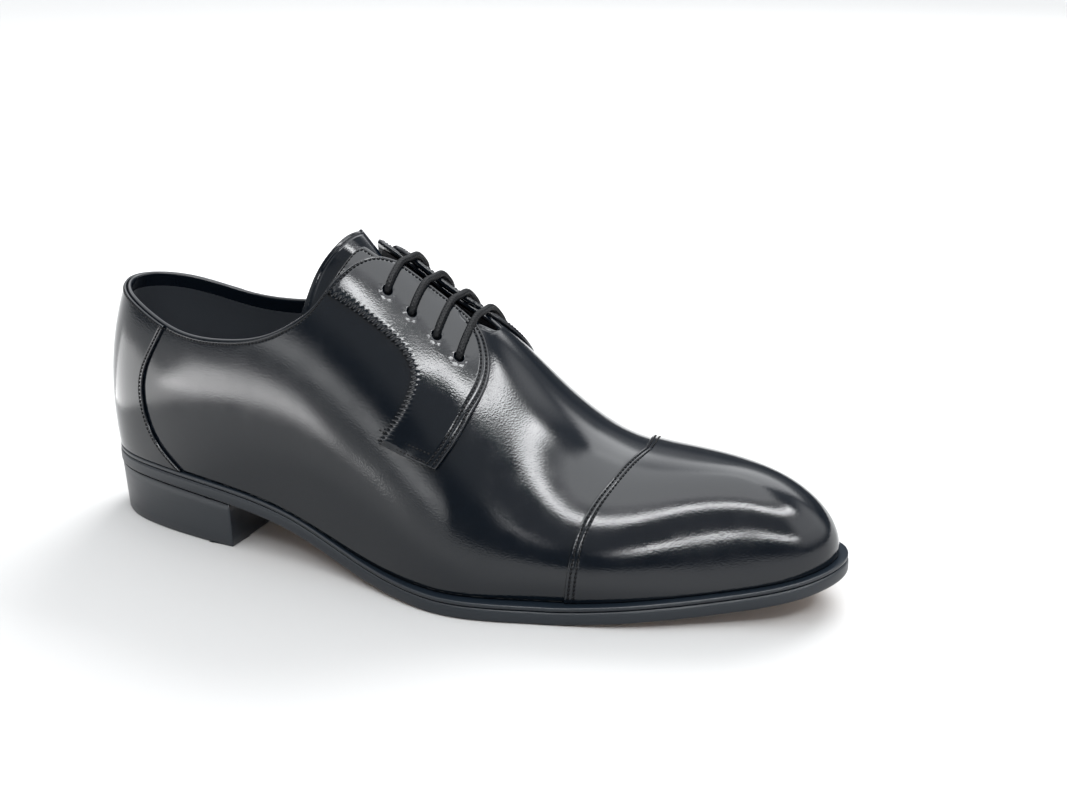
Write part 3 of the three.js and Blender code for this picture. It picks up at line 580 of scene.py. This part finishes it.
LINING = 0.00025  # the lining sheet lies this far inside the wall
lining_rows = np.linspace(0, 1, 30)[:, None] * (tops - edge_marks[-1] / upper_reach)[None, :]
lining_rows = np.where(tops < 1, lining_rows, np.linspace(0, 1, 30)[:, None])
lining_face = loft("lining_sheet", over(upper_steps[None, :], np.maximum(lining_rows, 0), -LEATHER - LINING))
paint(lining_face, lining_finish)

# The collar's stitches go round its back from one side of the throat to the other, over the back strip too
COLLAR_ROW, OVER_STRIP = 0.0022, 0.0012  # below the collar's edge, and the stitches' height on the strip
collar_columns = open_columns[upper_x[open_columns] < 0.43 * LENGTH]
on_strip = upper_x[collar_columns] < 0.141 * LENGTH
sew("collar_stitches", [(upper_steps[collar_columns],
                         tops[collar_columns] - COLLAR_ROW / upper_reach[collar_columns],
                         np.where(on_strip, OVER_STRIP, 0.0))])

insole_profile = [[0.012, 0], [0.0008, 0], [0, 0.0005], [0, INSOLE - 0.0005], [0.0008, INSOLE], [0.012, INSOLE]]
insole_profile = [[inset + LEATHER + 2 * GAP, height] for inset, height in insole_profile]
insole = plate("insole_sheet", "foot", insole_profile, foot_line, round_walk(200))
paint(insole, lining_finish)
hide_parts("insole")

# Toe cap
# A second piece of calf over the toe, with its edge pared thin. It is laid over the vamp and sewn down with
# two rows of stitches along its straight seam.
CAP = 0.0008
CAP_SEAM = [  # share up, along
    [0, 0.709], [0.2, 0.712], [0.35, 0.716], [0.5, 0.725], [0.65, 0.738], [0.8, 0.75], [0.9, 0.757], [1, 0.762]]
CUT_ROUND = 0.0004  # how round a cut edge is


def slab(name, step, up, high, low, marks, crest=False):
    """A sheet of leather over the skin, from one height to another, with its edges closed. With crest,
    its last row lies on the top line, where both sides meet."""
    pad = ((1, 0 if crest else 1), (1, 1))
    step_wide, up_wide = np.pad(step, pad, mode="edge"), np.pad(up, pad, mode="edge")
    high_wide = np.pad(np.broadcast_to(high, step.shape), pad, constant_values=low)
    marks_wide = {key: np.pad(value, pad, mode="edge") for key, value in marks.items()}
    base = loft(name + "_base", over(step, up, low), marks)
    top = loft(name, over(step_wide, up_wide, high_wide), marks_wide)
    base.select_set(True)
    bpy.ops.object.join()
    close(top)
    return top


def edge_drop(distance, radius):
    """How far a rounded edge lies below the sheet, at a distance from the edge."""
    return radius - np.sqrt(np.maximum(0, radius ** 2 - np.maximum(0, radius - distance) ** 2))


cap_seam = smooth([row[0] for row in CAP_SEAM], [row[1] * LENGTH for row in CAP_SEAM])
cap_ups = np.linspace(0, 1, 100)
cap_shares = np.concatenate([[0, 0.0012, 0.0025, 0.0045, 0.008, 0.012], np.linspace(0.018, 1, 110)])
first_x = cap_seam(cap_ups)[:, None]
cap_x = first_x + (TIP_X - first_x) * cap_shares[None, :]
cap_step = np.concatenate([step_at(-1, cap_x), step_at(1, cap_x)[:, ::-1][:, 1:]], 1)
cap_up = np.broadcast_to(cap_ups[:, None], cap_step.shape)
cap_far = np.concatenate([cap_x - first_x, (cap_x - first_x)[:, ::-1][:, 1:]], 1)
toe_cap = slab("toe_cap_leather", cap_step, cap_up, GAP + CAP - edge_drop(cap_far, CUT_ROUND), GAP,
               {"seam": cap_far * MM, "second": cap_far * MM}, crest=True)
paint(toe_cap, leather_finish)
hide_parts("toe_cap")
seam_ups = np.linspace(0.02, 1, 160)
cap_rows = []
for inset in (FIRST_ROW, SECOND_ROW):
    seam_x = cap_seam(seam_ups) + inset
    for side in (-1, 1):
        cap_rows.append((step_at(side, seam_x), seam_ups, GAP + CAP))
sew("cap_stitches", cap_rows)

# Back strip
# A strip of calf up the back of the heel, wide at the foot and at the collar. It covers the quarters' seam
# and is sewn down along both edges.
STRIP = 0.0009
COLLAR_TURN = 0.0011  # the collar's edge stays free above the strip
STRIP_EDGE = [  # share up, along
    [0, 0.157], [0.14, 0.124], [0.3, 0.106], [0.48, 0.1], [0.64, 0.106], [0.8, 0.121], [1, 0.141]]
strip_edge = smooth([row[0] for row in STRIP_EDGE], [row[1] * LENGTH for row in STRIP_EDGE])
strip_ups = np.linspace(0, 1, 90)
strip_shares = np.concatenate([np.linspace(0, 0.985, 56), [0.991, 0.995, 0.998, 1]])
edge_step = {side: step_at(side, strip_edge(strip_ups)) for side in (-1, 1)}
outer_edge, inner_edge = edge_step[-1][:, None], edge_step[1][:, None]
strip_step = np.concatenate([outer_edge + (BACK - outer_edge) * (1 - strip_shares[::-1]),
                             BACK + WALK + (inner_edge - BACK - WALK) * strip_shares[1:]], 1)
strip_step = np.where(strip_step < BACK + 1e-9, BACK, strip_step)
strip_top = np.interp((strip_step - BACK) % WALK, (upper_steps - BACK)[:-1], tops[:-1], period=WALK)
strip_up = (strip_top - COLLAR_TURN / column_length(strip_step)) * strip_ups[:, None]
strip_far = np.abs(strip_step - np.where(strip_step < BACK + WALK / 2, outer_edge, inner_edge)) * step_length
back_strip = slab("heel_strip", strip_step, strip_up, GAP + STRIP - edge_drop(strip_far, CUT_ROUND), GAP,
                  {"seam": strip_far * MM})
paint(back_strip, leather_finish)
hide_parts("back_strip")
sew("strip_stitches", [(edge_step[side] + side * FIRST_ROW / step_length, strip_up[:, column], GAP + STRIP)
                       for side, column in ((-1, 0), (1, -1))])

# Facings
# The doubled pieces of calf that carry the eyelets, one on each quarter, each with a tab below. The back
# seam is gathered on its thread, over some padding; the front and lace edges are turned and sewn.
FACING = 0.0016
UP_SCALE = 0.120  # the drawn places are shares of the shoe's length and of this width of flat leather
FACING_TOP = [[0.383, 0.745], [0.396, 0.815], [0.411, 0.88], [0.428, 0.931], [0.45, 0.962]]
FACING_FRONT = [[0.45, 0.962], [0.513, 0.962], [0.545, 0.947], [0.566, 0.92], [0.58, 0.87], [0.588, 0.8],
                [0.588, 0.72], [0.582, 0.64], [0.573, 0.545], [0.552, 0.412]]
FACING_BACK = [[0.473, 0.414], [0.485, 0.478], [0.497, 0.545], [0.504, 0.62], [0.503, 0.672], [0.491, 0.709],
               [0.466, 0.731], [0.428, 0.742], [0.383, 0.745]]


def drawn(points, count):
    """Evenly spaced points on a smooth line through drawn places on the flat leather."""
    points = np.array(points) * [LENGTH, UP_SCALE]
    run = walked_to(points)
    line = np.stack([smooth(run, points[:, i])(np.linspace(0, run[-1], 400)) for i in range(2)], 1)
    run = walked_to(line)
    return np.stack([np.interp(np.linspace(0, run[-1], count), run, line[:, i]) for i in range(2)], 1)


def near(points, line):
    """Distance from each point of a flat grid to a drawn line."""
    gaps = points[..., None, :] - line
    return np.sqrt((gaps ** 2).sum(-1)).min(-1)


EYELETS = [[0.553, 0.793], [0.522, 0.822], [0.488, 0.843], [0.455, 0.857]]  # from the lowest to the top one
EYELET_RADIUS = 0.0017
GATHER = 0.0019  # from one fold of the gathered seam to the next
FOLD_DEPTH, FOLD_INSET, FOLD_REACH = 0.0009, 0.0006, 0.0021  # down, inwards, and away from the seam
PADDED, PADDING = 0.014, 0.0008  # how far from the gathered seam the padding runs out, and how thick it is
TURNED_ROUND = 0.0006  # how round the turned edges are
facing_rows, facing_columns = 280, 90
front_line = drawn(FACING_FRONT, facing_rows)[::-1]
back_line = drawn(FACING_BACK, facing_rows)
tab_line = drawn([FACING_BACK[0], FACING_FRONT[-1]], facing_columns)
top_line = drawn(FACING_TOP, facing_columns)
t = np.linspace(0, 1, facing_rows)[:, None, None]
s = np.linspace(0, 1, facing_columns)[None, :, None]
corners = (1 - t) * ((1 - s) * tab_line[0] + s * tab_line[-1]) + t * ((1 - s) * top_line[0] + s * top_line[-1])
facing_flat = ((1 - s) * back_line[:, None] + s * front_line[:, None]
               + (1 - t) * tab_line[None] + t * top_line[None] - corners)
edge_near = near(facing_flat, np.concatenate([front_line, back_line, tab_line, top_line]))
front_part = front_line[front_line[:, 0] > 0.545 * LENGTH]
back_near = near(facing_flat, back_line)
fold = 0.5 + 0.5 * np.cos(2 * np.pi * t[..., 0] * walked_to(back_line)[-1] / GATHER)
gathers = fold * np.exp(-(back_near / FOLD_REACH) ** 2)
back_in = right_of(np.gradient(back_line, axis=0))
facing_flat = facing_flat + back_in[:, None] * FOLD_INSET * gathers[..., None]
padded_rise = 0.003
rise = np.clip(edge_near / padded_rise, 0, 1)
padding = (np.clip(PADDED - back_near, 0, None) / (PADDED - padded_rise)) ** 2 * rise ** 2 * (3 - 2 * rise)
padding = padding * np.interp(t[..., 0], [0.0, 0.3, 0.9], [1.6, 1.15, 0.35])
facing_high = GAP + FACING - edge_drop(edge_near, TURNED_ROUND) - FOLD_DEPTH * gathers + PADDING * padding
for eyelet in EYELETS:  # the leather round each hole lies in small pleats
    spot = facing_flat - np.array(eyelet) * [LENGTH, UP_SCALE]
    far = np.linalg.norm(spot, axis=-1)
    pleat = 1 + 0.6 * np.cos(7 * np.arctan2(spot[..., 1], spot[..., 0]))
    facing_high = facing_high + 0.00006 * pleat * np.exp(-((far - 0.0026) / 0.0008) ** 2)
    hole = np.clip((EYELET_RADIUS - far) / 0.0004, 0, 1)
    facing_high = facing_high * (1 - hole) + (GAP + 0.0001) * hole


def inset_line(line, distance):
    """A drawn line, moved to its left over the flat leather."""
    return line - right_of(np.gradient(line, axis=0)) * distance


facing_marks = {"seam": near(facing_flat, np.concatenate([front_line, top_line])) * MM,
                "second": near(facing_flat, front_part) * MM}
drawn_rows = [inset_line(front_line, FIRST_ROW), inset_line(front_part, SECOND_ROW),
              inset_line(top_line, -FIRST_ROW), tab_line + [0, 0.0015], tab_line + [0, 0.0052]]
for side, word, replaced in ((-1, "outer", "facing_right"), (1, "inner", "facing_left")):
    facing = slab("facing_" + word, step_at(side, facing_flat[..., 0]), facing_flat[..., 1] / UP_SCALE,
                  facing_high, GAP, facing_marks)
    paint(facing, leather_finish)
    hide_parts(replaced)
    sew("facing_stitches_" + word, [(step_at(side, row[3:-3, 0]), row[3:-3, 1] / UP_SCALE, GAP + FACING)
                                    for row in drawn_rows])

# Tongue
# A leaf of calf under the lace, sewn to the vamp at its front. Its free end stands up behind the facings
# and has rounded edges.
TONGUE, TONGUE_DEPTH = 0.0016, 0.0062
TONGUE_ROWS = [  # along, half width up the column, depth of the middle and of the sides as shares
    [0.6, 0.2, 0.47, 0.47], [0.57, 0.22, 0.9, 0.9], [0.52, 0.24, 1, 1], [0.47, 0.26, 1, 1],
    [0.438, 0.28, 0.93, 0.93], [0.418, 0.315, 0.55, 0.85], [0.393, 0.4, 0.05, 0.75]]
TONGUE_ACROSS = [  # share of the half width, sweep back at the free end, share of the sides' depth
    [0, 0, 0], [0.25, 0.013, 0.3], [0.5, 0.031, 0.93], [0.75, 0.041, 1], [1, 0.049, 1]]
tongue_x, tongue_half, tongue_middle, tongue_side = (
    smooth(range(len(TONGUE_ROWS)), [row[i] for row in TONGUE_ROWS]) for i in range(4))
tongue_back, tongue_turn = (
    smooth([row[0] for row in TONGUE_ACROSS], [row[i] for row in TONGUE_ACROSS]) for i in (1, 2))
tongue_share = np.linspace(0, 1, 110)[:, None]
tongue_t = tongue_share * (len(TONGUE_ROWS) - 1)
tongue_b = np.linspace(-1, 1, 101)[None, :]
tongue_place = (tongue_x(tongue_t) - tongue_back(np.abs(tongue_b)) * tongue_share ** 3) * LENGTH
tongue_step = np.where(tongue_b < 0, step_at(-1, tongue_place), step_at(1, tongue_place))
tongue_up = 1 - tongue_half(tongue_t) * np.abs(tongue_b)
turn = tongue_turn(np.abs(tongue_b))
sink = -TONGUE_DEPTH * (tongue_middle(tongue_t) * (1 - turn) + tongue_side(tongue_t) * turn)
end_near = (1 - tongue_share) * 60  # about the tongue's length in millimetres
tongue_sheet = [over(tongue_step, tongue_up, sink - depth) for depth in (0, TONGUE)]
tongue_rim = over(tongue_step[-1], tongue_up[-1], sink[-1] - TONGUE / 2 * (1 - np.cos(turn_angle)))
beyond_end = unit(tongue_sheet[0][-1] - tongue_sheet[0][-2])
tongue_rim = tongue_rim + beyond_end[None] * (np.sin(turn_angle) * TONGUE / 2)[..., None]
tongue_parts = [loft("tongue_leather", tongue_sheet[0], {"seam": np.minimum(end_near, 9)}),
                loft("tongue_back", tongue_sheet[1]), loft("tongue_end", tongue_rim),
                loft("tongue_front", np.stack([tongue_sheet[1][0], tongue_sheet[0][0]]))]
for i in (0, -1):
    corner = tongue_rim[:, i]
    tongue_parts += [loft("tongue_side", np.stack([tongue_sheet[0][:, i], tongue_sheet[1][:, i]])),
                     loft("tongue_corner", np.stack([corner, np.broadcast_to(corner[0], corner.shape)]))]
tongue = joined("tongue_leather", tongue_parts)
paint(tongue, leather_finish)
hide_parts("tongue")

# Lace
# A round braided cord of waxed cotton. It crosses the gap in four bars, each up through one eyelet and down
# through the one opposite, and runs on from eyelet to eyelet under the facings.
LACE, BAR_EDGE = 0.0027, 0.955
lace_top = GAP + FACING + LACE / 2 - 0.0001
lace_under = -(LEATHER + GAP + LACE / 2 + 0.0005)


def eyelet_place(side, row, up, height):
    """Place in line with an eyelet, at a share up and a height over the skin."""
    x = EYELETS[row][0] * LENGTH
    return over(step_at(side, x), up, height)


def bar(row, side):
    """A straight bar, up through one eyelet and down through the one opposite."""
    up = EYELETS[row][1]
    places = [(up, lace_under), (up, -0.0004), (up + 0.006, GAP + FACING + 0.0003), (up + 0.03, lace_top),
              ((up + BAR_EDGE) / 2 + 0.01, lace_top), (BAR_EDGE, lace_top - 0.0001)]
    near_half = [eyelet_place(side, row, *place) for place in places]
    far_half = [eyelet_place(-side, row, *place) for place in reversed(places)]
    middle = (near_half[-1] + far_half[0]) / 2
    return near_half + [middle] + far_half


def hidden_run(side, start, end, bow):
    """The cord's way under one facing, from one eyelet to another."""
    shares = [0.3, 0.7] if abs(end - start) == 1 else [0.18, 0.5, 0.82]
    (x0, up0), (x1, up1) = EYELETS[start], EYELETS[end]
    return [over(step_at(side, (x0 + (x1 - x0) * share) * LENGTH),
                 up0 + (up1 - up0) * share + bow * math.sin(math.pi * share), lace_under) for share in shares]


lace_points = np.array(hidden_run(-1, 3, 2, 0) + bar(2, -1) + hidden_run(1, 2, 0, -0.07) + bar(0, 1)
                       + hidden_run(-1, 0, 1, 0) + bar(1, -1) + hidden_run(1, 1, 3, 0.07) + bar(3, 1))
lace_run = np.concatenate([[0], np.cumsum(np.sqrt(np.linalg.norm(np.diff(lace_points, axis=0), axis=1)))])
lace_shares = np.linspace(0, lace_run[-1], 6000)
lace_line = np.stack([smooth(lace_run, lace_points[:, i])(lace_shares) for i in range(3)], 1)
run = walked_to(lace_line)
lace_at = np.arange(0, run[-1], 0.00032)
lace_line = np.stack([np.interp(lace_at, run, lace_line[:, i]) for i in range(3)], 1)
heading = unit(np.gradient(lace_line, axis=0))
aside = np.cross(heading[0], [0, 0, 1.0])
asides = []
for head in heading:  # carried along the cord without a twist
    aside = unit(aside - head * (aside @ head))
    asides.append(aside)
asides = np.array(asides)
ROUND, STRANDS = 32, 4  # strands each way round
BRAID = 0.0052  # one turn of a strand round the cord
angle = np.arange(ROUND + 1) / ROUND * 2 * np.pi
twist = 2 * np.pi * lace_at[:, None] / BRAID
strands = np.maximum(np.cos(STRANDS * (angle + twist)), np.cos(STRANDS * (angle - twist)))
radius = LACE / 2 * (0.87 + 0.16 * strands)
ups = np.cross(heading, asides)
spokes = asides[:, None] * np.cos(angle)[:, None] + ups[:, None] * np.sin(angle)[:, None]
lace_sheet = lace_line[:, None] + spokes * radius[..., None]
ends = [np.broadcast_to(lace_line[i], lace_sheet[i].shape)[None] for i in (0, -1)]
cord = loft("lace_cord", np.concatenate([ends[0], lace_sheet, ends[1]]))
lace_finish, lace_shader = finish("waxed_cord", (0.0015, 0.002, 0.003), 0.36, Specular_IOR_Level=0.22)
fuzz = texture(lace_finish, "TexNoise", Scale=5200.0, Detail=2.0).outputs["Fac"]
relief(lace_finish, lace_shader, fuzz, 0.6, 0.0002)
paint(cord, lace_finish)
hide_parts("lace")

# Floor and light
# A white sheet without a visible end, and the studio round it: a long light strip high in front and a narrow
# one low in front, with dark between them, soft light from above and behind, and two lit cards that lie on
# the floor behind the heel.
bpy.ops.mesh.primitive_plane_add(size=16)
floor = bpy.context.object
floor.name = "floor"
floor_finish, _ = finish("floor_white", (0.35, 0.35, 0.35), 0.9, Specular_IOR_Level=0.1)
floor.data.materials.append(floor_finish)


def fade(value, dark, bright):
    """Smooth change from nothing to full light as a value passes from one limit to the other."""
    return node(world, "MapRange", {"Value": value, "From Min": dark, "From Max": bright},
                interpolation_type="SMOOTHSTEP").outputs["Result"]


world = bpy.data.worlds.new("studio")
world.use_nodes = True
bpy.context.scene.world = world
direction = node(world, "TexCoord").outputs["Generated"]
parts = node(world, "SeparateXYZ", {"Vector": direction})
level_part = node(world, "CombineXYZ", {"X": parts.outputs["X"], "Y": parts.outputs["Y"]})
level_part = node(world, "VectorMath", {0: level_part.outputs["Vector"]}, operation="NORMALIZE")
STUDIO = [  # azimuth and half of its span, its softness, lowest and highest elevation, softness, radiance
    [-47, 182, 1, -5, 95, 2, 0.12], [-47, 182, 1, 20, 95, 4, 0.3], [-47, 58, 6, 45.5, 51.8, 0.8, 19.0],
    [-60, 70, 10, 53, 66, 3, 1.5], [0, 182, 1, 64, 95, 6, 3.0], [-51, 21, 8, 15.8, 18.8, 0.5, 24.0],
    [82, 24, 8, 32, 66, 6, 3.5], [-160, 38, 8, 28, 64, 6, 1.2], [140, 30, 8, 24, 64, 6, 1.6],
    [8, 34, 12, 8, 43, 6, 1.5], [-124, 8, 6, 2, 9, 3, 3.2]]
radiance = None
for azimuth_at, half_span, soft, lowest, highest, soft_up, power in STUDIO:
    aim = Vector((math.cos(math.radians(azimuth_at)), math.sin(math.radians(azimuth_at)), 0))
    masks = [power]
    if half_span < 180:
        towards = node(world, "VectorMath", {0: level_part.outputs["Vector"], 1: aim}, operation="DOT_PRODUCT")
        masks.append(fade(towards.outputs["Value"], math.cos(math.radians(half_span + soft)),
                          math.cos(math.radians(half_span - soft))))
    for limit, sign in ((lowest, 1), (highest, -1)):
        if limit < 90:
            masks.append(fade(parts.outputs["Z"], math.sin(math.radians(limit - sign * soft_up)),
                              math.sin(math.radians(limit + sign * soft_up))))
    light = masks[0]
    for mask in masks[1:]:
        light = node(world, "Math", {0: light, 1: mask}, operation="MULTIPLY").outputs[0]
    if radiance is not None:
        light = node(world, "Math", {0: radiance, 1: light}, operation="ADD").outputs[0]
    radiance = light
plain = node(world, "LightPath").outputs["Is Camera Ray"]  # behind the shoe the studio is plain white
radiance = node(world, "MapRange", {"Value": plain, "To Min": radiance, "To Max": 1.0}).outputs["Result"]
world.node_tree.links.new(radiance, world.node_tree.nodes["Background"].inputs["Strength"])
world.node_tree.nodes["Background"].inputs["Color"].default_value = (0.985, 0.998, 1.01, 1)

LAMPS = [  # name, place, aim, degrees it is turned, width and height, power, whether it shows in the gloss
    ["card_left", (-0.424, -0.35, 0.002), (-0.424, -0.35, 1), 44, (0.19, 0.42), 1.5, True],
    ["card_back", (-0.52, -0.07, 0.002), (-0.52, -0.07, 1), 0, (0.5, 0.26), 0.85, True],
    ["key_behind", (0.05, 1.2, 1.0), (0, 0, 0), 0, (1.2, 0.6), 50, False]]
for name, place, aim, degrees, size, power, shows in LAMPS:
    bpy.ops.object.light_add(type="AREA", location=place)
    lamp = bpy.context.object
    lamp.name = name
    lamp.data.shape = "RECTANGLE"
    lamp.data.size, lamp.data.size_y = size
    lamp.data.energy = power
    lamp.rotation_euler = (Vector(aim) - Vector(place)).to_track_quat("-Z", "Y").to_euler()
    if degrees:
        lamp.rotation_euler.rotate_axis("Z", math.radians(degrees))
    lamp.visible_camera = False
    lamp.visible_glossy = shows
bpy.context.scene.view_settings.view_transform = "Standard"
